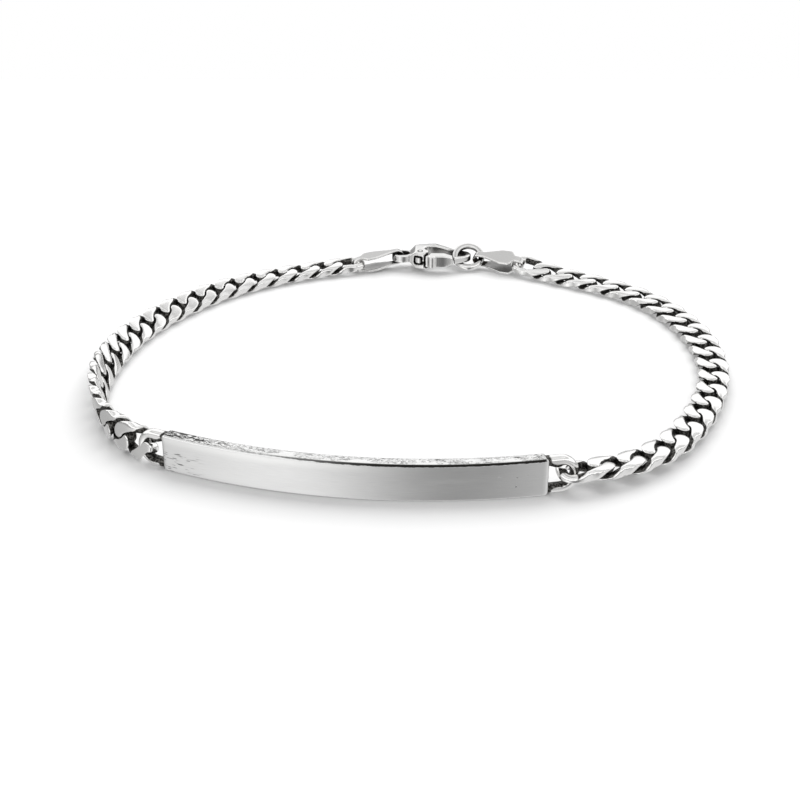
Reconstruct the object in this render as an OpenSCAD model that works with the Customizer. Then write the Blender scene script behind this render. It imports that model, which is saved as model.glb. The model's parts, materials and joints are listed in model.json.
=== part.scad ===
// Identity bracelet: a curved name bar, two flat curb chains, folded end tags,
// a jump ring and a lobster clasp. It lies closed on a table, +Z up, bar to the front (-Y).

/* [Name bar] */
// Height of the bar, standing on its long edge
bar_height = 3.5; // [3.2:0.1:4]
// Thickness of the bar
bar_thickness = 1.4; // [1.2:0.1:1.6]
// Radius of the bar's front face
bar_radius = 52.7; // [50:0.1:56]
// Angle that the bar covers
bar_angle = 37.8; // [36:0.1:38.5]
// Width of the bevel along the bar's edges
bar_bevel = 0.22; // [0.1:0.02:0.3]

/* [End rings of the bar] */
// Width of the flattened wire, in the plane of the ring
eye_wire = 0.75; // [0.7:0.05:0.8]
// Thickness of the flattened wire, across the ring
eye_thickness = 0.75; // [0.7:0.05:0.8]
// Radius of the round end, to the middle of the wire
eye_radius = 1.35; // [1.3:0.05:1.4]
// Straight length of each arm, from the bar
eye_arm = 1.15; // [1.1:0.05:1.2]

/* [Curb chain] */
// Links on the left side
left_links = 21; // [20:1:22]
// Links on the right side
right_links = 22; // [21:1:23]
// Width of the chain across its flat face
chain_width = 3.5; // [3.3:0.05:3.6]
// Thickness of the chain between its two filed faces
chain_thickness = 1.15; // [1:0.05:1.3]
// Diameter of the link wire
link_wire = 0.96; // [0.9:0.01:0.98]
// Free play where two links hook into each other
link_play = 0.18; // [0.16:0.01:0.22]
// Twist of a link from its middle to each end
link_twist = 52; // [50:1:54]

/* [End tags] */
// Length of a folded tag
tag_length = 6.8; // [6.6:0.1:7]
// Width of a tag at its widest place
tag_width = 2.5; // [2.3:0.1:2.7]
// Width of the fold at the clasp's side
tag_fold_width = 0.9; // [0.8:0.05:1]
// Width of the fold that holds the last link
tag_link_fold_width = 0.9; // [0.8:0.05:1]
// Thickness of the sheet
tag_sheet = 0.3; // [0.25:0.05:0.35]
// Clear height inside the fold
tag_gap = 1.25; // [1.2:0.05:1.3]

/* [Jump ring] */
// Radius of the ring to the middle of its wire
ring_radius = 1.7; // [1.65:0.05:1.75]
// Diameter of the ring wire
ring_wire = 0.75; // [0.65:0.05:0.8]

/* [Lobster clasp] */
// Largest thickness of the clasp
clasp_thickness = 1.8; // [1.6:0.1:2]
// Half width of the clasp at its middle
clasp_half_width = 2.4; // [2.3:0.05:2.5]
// Thickness of the lever
lever_thickness = 1.3; // [1:0.1:1.4]
// Radius of the hinge pin
pin_radius = 0.3; // [0.25:0.01:0.32]

/* [Hidden] */
round_fn = 64;

// Shift that puts the middle of the whole bracelet at x = y = 0 and its foot at z = 0
home_shift = [-0.19, 0.51, 0.034];
module home() translate(home_shift) children();

// The bar is part of an upright cylinder about this centre
bar_centre = [1.1, 21.5];
bar_mid_angle = -97.6;
bar_mid_radius = bar_radius - bar_thickness / 2;
eye_sink = 0.3;
// From the bar's end to the middle of the wire that hooks into the ring
eye_hook = eye_arm + eye_radius - eye_wire / 2 - link_wire / 2 - link_play;

// Where the pieces near the clasp lie: place of the middle, then roll, pitch and yaw
tag_left_place = [-4.1, 27.05, 1.2];
tag_left_turn = [-1, -7, 16];
tag_right_place = [11.3, 26.4, 1.3];
tag_right_turn = [22, 0, -22];
ring_place = [7.5, 27.6, 1.5];
ring_tilt = 36;
clasp_place = [-2.3, 27.8, 1.5];
clasp_turn = [-6, 0, -1];
// From a tag's middle to the middle of the wire in its fold
tag_hook = tag_length / 2 - tag_sheet - link_wire / 2 - link_play;

// Middle line of each chain from the bar to the tag, as [x, y, z, lean in degrees];
// lean 0 lies flat, and lean 90 stands on edge
function bar_end(side) = let (a = bar_mid_angle + side * bar_angle / 2)
    [bar_centre[0] + bar_mid_radius * cos(a), bar_centre[1] + bar_mid_radius * sin(a),
     bar_height / 2];
function bar_heading(side) = bar_mid_angle + side * bar_angle / 2 + side * 90;
function ahead(heading, distance) = [distance * cos(heading), distance * sin(heading), 0];
function with_lean(point, lean) = [point[0], point[1], point[2], lean];

// Small shifts that centre the end links in the rings and in the folds
left_start_shift = [-0.12, -0.12, -0.1];
left_stop_shift = [0.15, 0.1, -0.2];
right_stop_shift = [-0.1, 0.3, 0];
right_start_shift = [-0.08, -0.1, 0];
left_start = bar_end(-1) + ahead(bar_heading(-1), eye_hook) + left_start_shift;
right_start = bar_end(1) + ahead(bar_heading(1), eye_hook) + right_start_shift;
left_stop = tag_left_place - ahead(tag_left_turn[2], tag_hook) + left_stop_shift;
right_stop = tag_right_place + ahead(tag_right_turn[2], tag_hook) + right_stop_shift;

left_route = concat([with_lean(left_start, 101)], [
    [-25.95, -22.55, 1.7, 95],
    [-28.1, -20.1, 1.75, 89],
    [-29.7, -17.2, 1.75, 82],
    [-30.8, -13.8, 1.75, 74],
    [-31.5, -10.0, 1.7, 66],
    [-31.7, -6.2, 1.6, 55],
    [-31.5, -2.2, 1.4, 41],
    [-30.8, 2.2, 1.2, 29],
    [-29.6, 6.2, 1.05, 22],
    [-27.5, 10.4, 1.05, 20],
    [-24.8, 14.6, 1.0, 17],
    [-21.3, 18.6, 0.9, 13],
    [-16.5, 22.3, 0.8, 8],
    [-11.5, 24.8, 0.8, 5],
], [with_lean(left_stop, 3)]);

right_route = concat([with_lean(right_start, -8)], [
    [17.8, -27.45, 1.35, -5],
    [20.9, -25.5, 1.2, -5],
    [23.5, -22.9, 1.05, -3],
    [25.8, -19.6, 1.0, -1],
    [27.9, -15.7, 0.95, -1],
    [29.6, -11.8, 0.85, -3],
    [31.0, -7.4, 0.8, -5],
    [31.7, -1.5, 0.8, -7],
    [31.4, 4.2, 0.8, -8],
    [29.8, 10.4, 0.75, -7],
    [27.1, 15.4, 0.75, -6],
    [23.2, 19.2, 0.75, -6],
    [18.9, 22.1, 0.8, -9],
    [16.0, 24.05, 0.95, -16],
], [with_lean(right_stop, -24)]);

route_steps = 10;

// A smooth line through the rows of a route
function row(route, i) = route[max(0, min(len(route) - 1, i))];
function blend(a, b, c, d, t) = 0.5 * (2 * b + (c - a) * t
    + (2 * a - 5 * b + 4 * c - d) * t * t + (3 * b - a - 3 * c + d) * t * t * t);
function smooth_line(route) = concat(
    [for (i = [0:len(route) - 2]) for (k = [0:route_steps - 1])
        blend(row(route, i - 1), row(route, i), row(route, i + 1), row(route, i + 2),
              k / route_steps)],
    [route[len(route) - 1]]);
function place_of(row) = [row[0], row[1], row[2]];
function step_length(line, i) = i == 0 ? 0 : norm(place_of(line[i]) - place_of(line[i - 1]));
// Distance along the line, once for each of its points
function distances(line) =
    [for (i = 0, s = 0; i < len(line);
          i = i + 1, s = s + step_length(line, min(i, len(line) - 1))) s];
function column(line, along, c) = [for (i = [0:len(line) - 1]) [along[i], line[i][c]]];

// The closed middle line of a link: an oval that is twisted end to end
link_rings = 16;
link_sides = 6;
oval_power = 0.75;
// Twist of the outer ends of the first and last link of each chain
left_first_twist = 108;
left_last_twist = 2;
right_first_twist = 28;
right_last_twist = 0;
function signed_pow(v, p) = sign(v) * pow(abs(v), p);
// Twist at x, where twists holds the full twist of the back end and of the front end
function twist_at(x, half_length, twists) = -(x < 0 ? twists[0] : twists[1]) * x / half_length;
function link_middle(half_length, half_width, twists, t) = let (
    x = half_length * signed_pow(cos(t), oval_power),
    y = half_width * signed_pow(sin(t), oval_power),
    twist = twist_at(x, half_length, twists))
    [x, y * cos(twist), y * sin(twist)];
function unit(v) = v / norm(v);
function filed(p) = [p[0], p[1], max(-chain_thickness / 2, min(chain_thickness / 2, p[2]))];
function link_ring(half_length, half_width, twists, t) = let (
    here = link_middle(half_length, half_width, twists, t),
    along = unit(link_middle(half_length, half_width, twists, t + 1)
                 - link_middle(half_length, half_width, twists, t - 1)),
    twist = twist_at(here[0], half_length, twists),
    side = unit(cross(along, [0, -sin(twist), cos(twist)])),
    up = cross(side, along))
    [for (k = [0:link_sides - 1]) let (a = 360 * k / link_sides)
        filed(here + link_wire / 2 * (cos(a) * side + sin(a) * up))];

// One link, made as a closed tube of rings
module link(length, twists) {
    half_length = (length - link_wire) / 2;
    half_width = (chain_width - link_wire) / 2;
    points = [for (i = [0:link_rings - 1])
        each link_ring(half_length, half_width, twists, 360 * (i + 0.5) / link_rings)];
    faces = [for (i = [0:link_rings - 1]) for (k = [0:link_sides - 1]) let (
        here = i * link_sides,
        next = (i + 1) % link_rings * link_sides,
        m = (k + 1) % link_sides)
        each [[here + k, here + m, next + m], [here + k, next + m, next + k]]];
    polyhedron(points = points, faces = faces, convexity = 4);
}

// A run of interlocked links along a route; the outer ends of the first and last link
// have twists of their own, so that they lie square in the ring and in the tag
module chain(route, count, first_twist, last_twist) {
    line = smooth_line(route);
    along = distances(line);
    total = along[len(along) - 1];
    pitch = (total - link_wire - link_play) / count;
    length = pitch + 2 * link_wire + link_play;
    reach = (length - link_wire) / 2;
    x = column(line, along, 0);
    y = column(line, along, 1);
    z = column(line, along, 2);
    lean = column(line, along, 3);
    for (i = [0:count - 1]) {
        s = reach + i * pitch;
        back = [lookup(s - reach, x), lookup(s - reach, y), lookup(s - reach, z)];
        front = [lookup(s + reach, x), lookup(s + reach, y), lookup(s + reach, z)];
        run = front - back;
        centre = (front + back) / 2;
        translate(centre)
            rotate([lookup(s, lean), -atan2(run[2], norm([run[0], run[1]])),
                    atan2(run[1], run[0])])
                link(length, [i == 0 ? first_twist : link_twist,
                              i == count - 1 ? last_twist : link_twist]);
    }
}

// A box with its four long edges cut, as a flat outline
module bevelled(width, height, bevel) {
    w = width / 2;
    h = height / 2;
    polygon([[-w, bevel - h], [bevel - w, -h], [w - bevel, -h], [w, bevel - h],
             [w, h - bevel], [w - bevel, h], [bevel - w, h], [-w, h - bevel]]);
}

// The D-shaped ring on one end of the bar
module end_eye(side) {
    wire_bevel = 0.2;
    translate(bar_end(side)) rotate([0, 0, bar_heading(side)]) rotate([90, 0, 0]) {
        translate([eye_arm, 0, 0]) rotate([0, 0, -90]) rotate_extrude(angle = 180, $fn = round_fn)
            translate([eye_radius, 0]) bevelled(eye_wire, eye_thickness, wire_bevel);
        for (y = [-eye_radius, eye_radius])
            translate([-eye_sink, y, 0]) rotate([90, 0, 90]) linear_extrude(eye_arm + eye_sink)
                bevelled(eye_wire, eye_thickness, wire_bevel);
    }
}

module id_bar() color("silver") home() {
    translate([bar_centre[0], bar_centre[1], bar_height / 2])
        rotate([0, 0, bar_mid_angle - bar_angle / 2]) rotate_extrude(angle = bar_angle, $fn = 360)
            translate([bar_mid_radius, 0]) bevelled(bar_thickness, bar_height, bar_bevel);
    end_eye(-1);
    end_eye(1);
}

// Side view of a tag: a long flat loop
module tag_loop() {
    outer = tag_gap / 2 + tag_sheet;
    middle = tag_length / 2 - outer;
    difference() {
        union() {
            square([2 * middle, 2 * outer], center = true);
            for (x = [-middle, middle]) translate([x, 0]) circle(outer, $fn = round_fn);
        }
        square([2 * middle, tag_gap], center = true);
        for (x = [-middle, middle]) translate([x, 0]) circle(tag_gap / 2, $fn = round_fn);
    }
}

// A folded tag: its wide part is nearer to the chain, at +X
tag_fold_run = 1.5;
tag_wide_start = 3;
tag_wide_stop = 1.8;
tag_link_fold_run = 1.2;
module tag() {
    end = tag_length / 2;
    narrow = tag_fold_width / 2;
    link_narrow = tag_link_fold_width / 2;
    wide = tag_width / 2;
    intersection() {
        rotate([90, 0, 0]) linear_extrude(tag_width + 1, center = true) tag_loop();
        linear_extrude(4, center = true)
            polygon([[-end, -narrow], [tag_fold_run - end, -narrow],
                     [end - tag_wide_start, -wide], [end - tag_wide_stop, -wide],
                     [end - tag_link_fold_run, -link_narrow], [end, -link_narrow],
                     [end, link_narrow], [end - tag_link_fold_run, link_narrow],
                     [end - tag_wide_stop, wide], [end - tag_wide_start, wide],
                     [tag_fold_run - end, narrow], [-end, narrow]]);
    }
}

module tag_left() color("silver") home() translate(tag_left_place) rotate(tag_left_turn)
    rotate([0, 0, 180]) tag();
module tag_right() color("silver") home() translate(tag_right_place) rotate(tag_right_turn) tag();

module jump_ring() color("silver") home() translate(ring_place) rotate([ring_tilt, 0, 0])
    rotate_extrude($fn = 48) translate([ring_radius, 0]) circle(ring_wire / 2, $fn = 20);

// The clasp's own frame: X from the eye to the nose, lever on the -Y side
clasp_mid = 5.9;
clasp_reach = 4.7;
clasp_arc = (clasp_reach * clasp_reach + clasp_half_width * clasp_half_width)
    / (2 * clasp_half_width);
clasp_arc_shift = clasp_arc - clasp_half_width;
nose_radius = 1.4;
nose_x = clasp_mid + sqrt(pow(clasp_arc - nose_radius, 2) - pow(clasp_arc_shift, 2));
nose_wire = 0.65;
clasp_eye_x = 1.4;
clasp_eye_hole = 0.88;
clasp_eye_half = 0.38;
eye_slope = [2.3, 3];
nose_slope = [5.6, 8];
mouth_half = 1.2;
mouth_start = 5.4;
mouth_stop = nose_x + nose_radius - nose_wire - mouth_half;
hinge = [3.6, -1.15];
cheek_radius = 1.05;
lug_radius = 0.72;
lug_half = 0.35;
slot_half = 0.45;
hinge_gap = 0.12;
pin_play = 0.03;
lever_tip = 7.75;
jaw_line = -1.02;
neck_length = 1.4;
neck_low = -0.6;
neck_high = 0.1;
thumb_tab = [5.1, -2.25];
thumb_tab_radius = 0.5;

module clasp_outline() {
    end = nose_x + nose_radius * (nose_x - clasp_mid) / (clasp_arc - nose_radius);
    intersection() {
        translate([clasp_mid, -clasp_arc_shift]) circle(clasp_arc, $fn = 180);
        translate([clasp_mid, clasp_arc_shift]) circle(clasp_arc, $fn = 180);
        translate([0, -5]) square([end, 10]);
    }
    translate([nose_x, 0]) circle(nose_radius, $fn = round_fn);
}

module mouth() {
    for (x = [mouth_start, mouth_stop]) translate([x, 0]) circle(mouth_half, $fn = round_fn);
    translate([mouth_start, -mouth_half]) square([mouth_stop - mouth_start, 2 * mouth_half]);
}

// What the lever takes out of the near jaw
module lever_room() {
    difference() {
        translate([hinge[0], -4])
            square([lever_tip + hinge_gap - hinge[0], 4 + jaw_line + hinge_gap]);
        translate(hinge) circle(cheek_radius, $fn = round_fn);
    }
}

// Side view of the clasp, thick at its middle and thin at its eye and nose
module clasp_side() {
    half = clasp_thickness / 2;
    nose = nose_wire / 2;
    back = -1;
    front = 11;
    rotate([90, 0, 0]) linear_extrude(8, center = true)
        polygon([[back, -clasp_eye_half], [eye_slope[0], -clasp_eye_half], [eye_slope[1], -half],
                 [nose_slope[0], -half], [nose_slope[1], -nose], [front, -nose],
                 [front, nose], [nose_slope[1], nose], [nose_slope[0], half],
                 [eye_slope[1], half], [eye_slope[0], clasp_eye_half], [back, clasp_eye_half]]);
}

module clasp_frame() home() translate(clasp_place) rotate(clasp_turn) children();
module at_hinge() translate([hinge[0], hinge[1], 0]) children();

module clasp_body() color("silver") clasp_frame() difference() {
    room = lug_radius + hinge_gap;
    intersection() {
        linear_extrude(4, center = true) difference() {
            union() {
                clasp_outline();
                translate([clasp_eye_x, 0]) circle(clasp_eye_x, $fn = round_fn);
            }
            translate([clasp_eye_x, 0]) circle(clasp_eye_hole, $fn = round_fn);
            mouth();
            lever_room();
        }
        clasp_side();
    }
    at_hinge() cylinder(h = 2 * slot_half, r = room, center = true, $fn = round_fn);
    at_hinge() translate([0, -room, -slot_half]) cube([1.5, 2 * room, 2 * slot_half]);
    at_hinge() cylinder(h = 4, r = pin_radius, center = true, $fn = round_fn);
}

module clasp_lever() color("silver") clasp_frame() difference() {
    intersection() {
        union() {
            linear_extrude(lever_thickness, center = true) difference() {
                union() {
                    intersection() {
                        clasp_outline();
                        translate([hinge[0], -4]) square([lever_tip - hinge[0], 4 + jaw_line]);
                    }
                    translate(thumb_tab) circle(thumb_tab_radius, $fn = round_fn);
                }
                translate(hinge) circle(cheek_radius + hinge_gap, $fn = round_fn);
            }
            linear_extrude(2 * lug_half, center = true) at_hinge() {
                circle(lug_radius, $fn = round_fn);
                translate([0, neck_low]) square([neck_length, neck_high - neck_low]);
            }
        }
        clasp_side();
    }
    at_hinge() cylinder(h = 4, r = pin_radius + pin_play, center = true, $fn = round_fn);
}

module clasp_pin() color("gainsboro") clasp_frame() at_hinge()
    cylinder(h = clasp_thickness, r = pin_radius, center = true, $fn = round_fn);

module chain_left() color("silver") home()
    chain(left_route, left_links, left_first_twist, left_last_twist);
module chain_right() color("silver") home()
    chain(right_route, right_links, right_first_twist, right_last_twist);

id_bar();
chain_left();
chain_right();
tag_left();
tag_right();
jump_ring();
clasp_body();
clasp_lever();
clasp_pin();
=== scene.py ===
import json
import math
import bmesh
import bpy
import numpy as np
from mathutils import Euler, Matrix, Vector
from mathutils.bvhtree import BVHTree

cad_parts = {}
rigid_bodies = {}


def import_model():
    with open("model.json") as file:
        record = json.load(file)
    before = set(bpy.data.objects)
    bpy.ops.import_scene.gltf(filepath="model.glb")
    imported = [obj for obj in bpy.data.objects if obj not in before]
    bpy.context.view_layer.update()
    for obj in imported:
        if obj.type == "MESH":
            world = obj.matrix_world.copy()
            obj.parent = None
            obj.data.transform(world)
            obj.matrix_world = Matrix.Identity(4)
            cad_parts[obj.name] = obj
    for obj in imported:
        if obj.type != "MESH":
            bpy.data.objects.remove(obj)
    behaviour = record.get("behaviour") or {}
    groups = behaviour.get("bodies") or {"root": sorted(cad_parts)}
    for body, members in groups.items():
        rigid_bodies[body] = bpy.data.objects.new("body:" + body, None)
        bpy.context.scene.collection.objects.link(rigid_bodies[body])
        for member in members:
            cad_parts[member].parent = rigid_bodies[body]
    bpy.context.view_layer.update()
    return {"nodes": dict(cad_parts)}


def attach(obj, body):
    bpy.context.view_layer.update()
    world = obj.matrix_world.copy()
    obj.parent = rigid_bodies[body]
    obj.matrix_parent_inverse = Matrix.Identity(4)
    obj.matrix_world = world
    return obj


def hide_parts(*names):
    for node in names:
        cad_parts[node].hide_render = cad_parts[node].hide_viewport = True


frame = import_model()
mm = 0.001  # all sizes below are in millimetres
homeShift = np.array([-0.19, 0.51, 0.034])  # puts the bracelet's middle at x = y = 0


# node helpers

def addNode(tree, kind, **values):
    node = tree.nodes.new(kind)
    for key, value in values.items():
        setattr(node, key, value)
    return node


def join(tree, source, target):
    tree.links.new(source, target)


def mathNode(tree, operation, a, b=None, clamp=False):
    node = addNode(tree, "ShaderNodeMath", operation=operation, use_clamp=clamp)
    for i, value in enumerate((a, b)):
        if value is None:
            continue
        if isinstance(value, (int, float)):
            node.inputs[i].default_value = value
        else:
            join(tree, value, node.inputs[i])
    return node.outputs[0]


def rampNode(tree, value, low, high, smooth=True):
    node = addNode(tree, "ShaderNodeMapRange")
    node.interpolation_type = "SMOOTHSTEP" if smooth else "LINEAR"
    node.inputs["From Min"].default_value = low
    node.inputs["From Max"].default_value = high
    join(tree, value, node.inputs["Value"])
    return node.outputs["Result"]


def mixColor(tree, mask, clean, dark):
    node = addNode(tree, "ShaderNodeMix", data_type="RGBA")
    for socket, value in ((node.inputs[6], clean), (node.inputs[7], dark)):
        if isinstance(value, tuple):
            socket.default_value = (*value, 1)
        else:
            join(tree, value, socket)
    join(tree, mask, node.inputs[0])
    return node.outputs[2]


# camera, floor and studio light

studio = {
    "aim": (-1.49, -10.89, 0.034),
    "distance": 120.0,
    "elevation": 26.0,
    "lens": 54.0,
    "fill": 0.69,
    "keyLight": 7.6,
    "keyPlace": (110, 520, 760),
    "keySize": (1200, 800),
    "floorColor": (0.9, 0.9, 0.9),
    "floorHalf": 150.0,
    # what the silver mirrors below the horizon: (compass angle in degrees, brightness)
    "tableTones": [(-180, 0.5), (-157, 0.74), (-142, 0.86), (-127, 1.14), (-115, 1.0),
                   (-107, 0.82), (-100, 0.54), (-90, 0.24), (-77, 0.18), (-66, 0.44), (-57, 0.6),
                   (-40, 0.75), (20, 0.8), (90, 0.7), (150, 0.45), (180, 0.5)],
    # and above it: (height, where 1 is straight up, brightness)
    "skyTones": [(0.0, 0.2), (0.1, 0.6), (0.2, 1.15), (0.58, 1.15), (0.66, 0.75), (0.72, 0.55),
                 (0.79, 0.75), (0.86, 0.95), (0.94, 0.8), (1.0, 0.4)],
    "horizon": (-0.1, 0.02),
}


def addCamera():
    tilt = math.radians(studio["elevation"])
    back = studio["distance"] * Vector((0, -math.cos(tilt), math.sin(tilt)))
    data = bpy.data.cameras.new("camera")
    data.lens = studio["lens"]
    data.sensor_width = 36
    data.clip_start = 0.001
    data.clip_end = 10
    cam = bpy.data.objects.new("camera", data)
    cam.location = (Vector(studio["aim"]) + back) * mm
    cam.rotation_euler = (math.radians(90 - studio["elevation"]), 0, 0)
    bpy.context.collection.objects.link(cam)
    bpy.context.scene.camera = cam


def addFloor():
    # it ends where it is still as white as the background, so no edge shows
    half = studio["floorHalf"] * mm
    data = bpy.data.meshes.new("floor")
    data.from_pydata([(-half, -half, 0), (half, -half, 0), (half, half, 0), (-half, half, 0)],
                     [], [(0, 1, 2, 3)])
    floor = bpy.data.objects.new("floor", data)
    bpy.context.collection.objects.link(floor)
    mat = bpy.data.materials.new("whiteTable")
    mat.use_nodes = True
    bsdf = mat.node_tree.nodes["Principled BSDF"]
    bsdf.inputs["Base Color"].default_value = (*studio["floorColor"], 1)
    bsdf.inputs["Roughness"].default_value = 0.7
    bsdf.inputs["Specular IOR Level"].default_value = 0.2
    data.materials.append(mat)
    floor.visible_glossy = False


def addAreaLight(name, place, aim, size, power):
    data = bpy.data.lights.new(name, "AREA")
    data.shape = "RECTANGLE"
    data.size, data.size_y = size[0] * mm, size[1] * mm
    data.energy = power
    lamp = bpy.data.objects.new(name, data)
    lamp.location = Vector(place) * mm
    lamp.rotation_euler = (Vector(aim) - Vector(place)).to_track_quat("-Z", "Y").to_euler()
    lamp.visible_glossy = False
    bpy.context.collection.objects.link(lamp)


def toneRamp(tree, value, stops):
    ramp = tree.nodes.new("ShaderNodeValToRGB")
    for n, (place, tone) in enumerate(stops):
        stop = ramp.color_ramp.elements[n] if n < 2 else ramp.color_ramp.elements.new(place)
        stop.position = place
        stop.color = (tone, tone, tone, 1)
    tree.links.new(value, ramp.inputs["Fac"])
    return ramp.outputs["Color"]


def mirroredRoom(tree):
    # the graded room that the silver mirrors: tones by compass angle below, by height above
    look = addNode(tree, "ShaderNodeTexCoord")
    split = addNode(tree, "ShaderNodeSeparateXYZ")
    join(tree, look.outputs["Generated"], split.inputs["Vector"])
    angle = mathNode(tree, "ARCTAN2", split.outputs["Y"], split.outputs["X"])
    share = rampNode(tree, angle, -math.pi, math.pi, smooth=False)
    table = toneRamp(tree, share, [((a + 180) / 360, tone) for a, tone in studio["tableTones"]])
    sky = toneRamp(tree, split.outputs["Z"], studio["skyTones"])
    level = rampNode(tree, split.outputs["Z"], *studio["horizon"])
    return mixColor(tree, level, table, sky)


def plainLight(tree, strength):
    light = addNode(tree, "ShaderNodeBackground")
    light.inputs["Color"].default_value = (1, 1, 1, 1)
    light.inputs["Strength"].default_value = strength
    return light.outputs["Background"]


def chooseByRay(tree, kind, other, chosen):
    # the chosen light for rays of one kind, and the other light for the rest
    ray = addNode(tree, "ShaderNodeLightPath")
    choice = addNode(tree, "ShaderNodeMixShader")
    join(tree, ray.outputs[kind], choice.inputs["Fac"])
    join(tree, other, choice.inputs[1])
    join(tree, chosen, choice.inputs[2])
    return choice.outputs["Shader"]


def addStudio():
    # the silver mirrors the graded room, the table gets an even fill, the camera sees white
    world = bpy.data.worlds.new("studio")
    world.use_nodes = True
    tree = world.node_tree
    mirrored = tree.nodes["Background"]
    join(tree, mirroredRoom(tree), mirrored.inputs["Color"])
    lit = chooseByRay(tree, "Is Glossy Ray", plainLight(tree, studio["fill"]),
                      mirrored.outputs["Background"])
    shown = chooseByRay(tree, "Is Camera Ray", lit, plainLight(tree, 1.0))
    join(tree, shown, tree.nodes["World Output"].inputs["Surface"])
    bpy.context.scene.world = world
    addAreaLight("keySoftbox", studio["keyPlace"], (0, 0, 0), studio["keySize"],
                 studio["keyLight"])
    view = bpy.context.scene.view_settings
    view.view_transform = "Standard"
    view.exposure = 0.0


addCamera()
addFloor()
addStudio()
print("camera, floor and studio are set")


# shader groups that several finishes share

def newGroup(name, inputs, outputs):
    group = bpy.data.node_groups.new(name, "ShaderNodeTree")
    for kind, label, value in inputs:
        socket = group.interface.new_socket(label, in_out="INPUT", socket_type=kind)
        socket.default_value = value
    for kind, label in outputs:
        group.interface.new_socket(label, in_out="OUTPUT", socket_type=kind)
    return group, group.nodes.new("NodeGroupInput"), group.nodes.new("NodeGroupOutput")


oxideAndShade = {
    "detail": 4,
    "edge": 0.08,
    "roughness": 0.4,
    "speckScale": 5200,
    "speckDetail": 3,
    "speckCut": (0.42, 0.68),
}

handling = {
    "detail": 3,
    "hairStretch": (1, 6, 2),
    "hairTurn": (0.3, 0.5, 0.7),
    "hairScale": 2600,
    "hairDetail": 2,
    "hairHeight": 0.3,
}


def buildTarnishAndShade():
    # dark silver oxide that stays in the recesses, with a ragged edge; where the recess value
    # carries painted shade, it paints that shade in the same dark tone
    group, given, result = newGroup("silverTarnishAndShade", [
        ("NodeSocketFloat", "RecessAndShade", 0.0),
        ("NodeSocketFloat", "Level", 0.5),
        ("NodeSocketFloat", "Ragged", 0.25),
        ("NodeSocketFloat", "Scale", 3000.0)],
        [("NodeSocketFloat", "Mask"), ("NodeSocketFloat", "Roughness"),
         ("NodeSocketFloat", "Grain")])
    place = addNode(group, "ShaderNodeTexCoord")
    noise = addNode(group, "ShaderNodeTexNoise")
    noise.inputs["Detail"].default_value = oxideAndShade["detail"]
    join(group, place.outputs["Object"], noise.inputs["Vector"])
    join(group, given.outputs["Scale"], noise.inputs["Scale"])
    wobble = mathNode(group, "SUBTRACT", noise.outputs["Fac"], 0.5)
    wobble = mathNode(group, "MULTIPLY", wobble, given.outputs["Ragged"])
    depth = mathNode(group, "ADD", given.outputs["RecessAndShade"], wobble)
    over = mathNode(group, "SUBTRACT", depth, given.outputs["Level"])
    mask = rampNode(group, over, -oxideAndShade["edge"], oxideAndShade["edge"])
    join(group, mask, result.inputs["Mask"])
    rough = mathNode(group, "MULTIPLY", mask, oxideAndShade["roughness"])
    join(group, rough, result.inputs["Roughness"])
    speck = addNode(group, "ShaderNodeTexNoise")
    speck.inputs["Scale"].default_value = oxideAndShade["speckScale"]
    speck.inputs["Detail"].default_value = oxideAndShade["speckDetail"]
    join(group, place.outputs["Object"], speck.inputs["Vector"])
    grain = rampNode(group, speck.outputs["Fac"], *oxideAndShade["speckCut"])
    join(group, grain, result.inputs["Grain"])
    return group


def buildPolish():
    # hairline handling marks: a small height and a small change of gloss
    group, given, result = newGroup("handlingMarks", [
        ("NodeSocketFloat", "Scale", 900.0),
        ("NodeSocketFloat", "Gloss", 0.14),
        ("NodeSocketFloat", "Spread", 0.1)],
        [("NodeSocketFloat", "Roughness"), ("NodeSocketFloat", "Height")])
    place = addNode(group, "ShaderNodeTexCoord")
    cloud = addNode(group, "ShaderNodeTexNoise")
    cloud.inputs["Detail"].default_value = handling["detail"]
    join(group, place.outputs["Object"], cloud.inputs["Vector"])
    join(group, given.outputs["Scale"], cloud.inputs["Scale"])
    stretch = addNode(group, "ShaderNodeMapping")
    stretch.inputs["Scale"].default_value = handling["hairStretch"]
    stretch.inputs["Rotation"].default_value = handling["hairTurn"]
    join(group, place.outputs["Object"], stretch.inputs["Vector"])
    hairs = addNode(group, "ShaderNodeTexNoise")
    hairs.inputs["Scale"].default_value = handling["hairScale"]
    hairs.inputs["Detail"].default_value = handling["hairDetail"]
    join(group, stretch.outputs["Vector"], hairs.inputs["Vector"])
    spread = mathNode(group, "MULTIPLY", cloud.outputs["Fac"], given.outputs["Spread"])
    join(group, mathNode(group, "ADD", spread, given.outputs["Gloss"]), result.inputs["Roughness"])
    height = mathNode(group, "MULTIPLY", hairs.outputs["Fac"], handling["hairHeight"])
    join(group, height, result.inputs["Height"])
    return group


tarnishAndShadeGroup = buildTarnishAndShade()
polishGroup = buildPolish()


def placeGroup(tree, group, **values):
    node = addNode(tree, "ShaderNodeGroup", node_tree=group)
    for key, value in values.items():
        node.inputs[key].default_value = value
    return node


silverTone = {
    "clean": (0.93, 0.925, 0.915),
    # dark oxide; the same tone also paints shade between the chain's links, on the end rings and
    # along the bar's rear edge
    "oxideAndShade": (0.028, 0.027, 0.025),
    "paleOxideAndShade": (0.2, 0.195, 0.185),
    "warmOxide": (0.16, 0.13, 0.09),
    "brushLow": (0.82, 0.82, 0.815),
    "brushHigh": (0.89, 0.89, 0.885),
    # bright tone of the painted sheen on the bar's front face
    "paintedSheen": (1.0, 1.0, 0.99),
    # dark tone of the painted shade on the fittings
    "paintedShade": (0.03, 0.03, 0.03),
}


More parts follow.
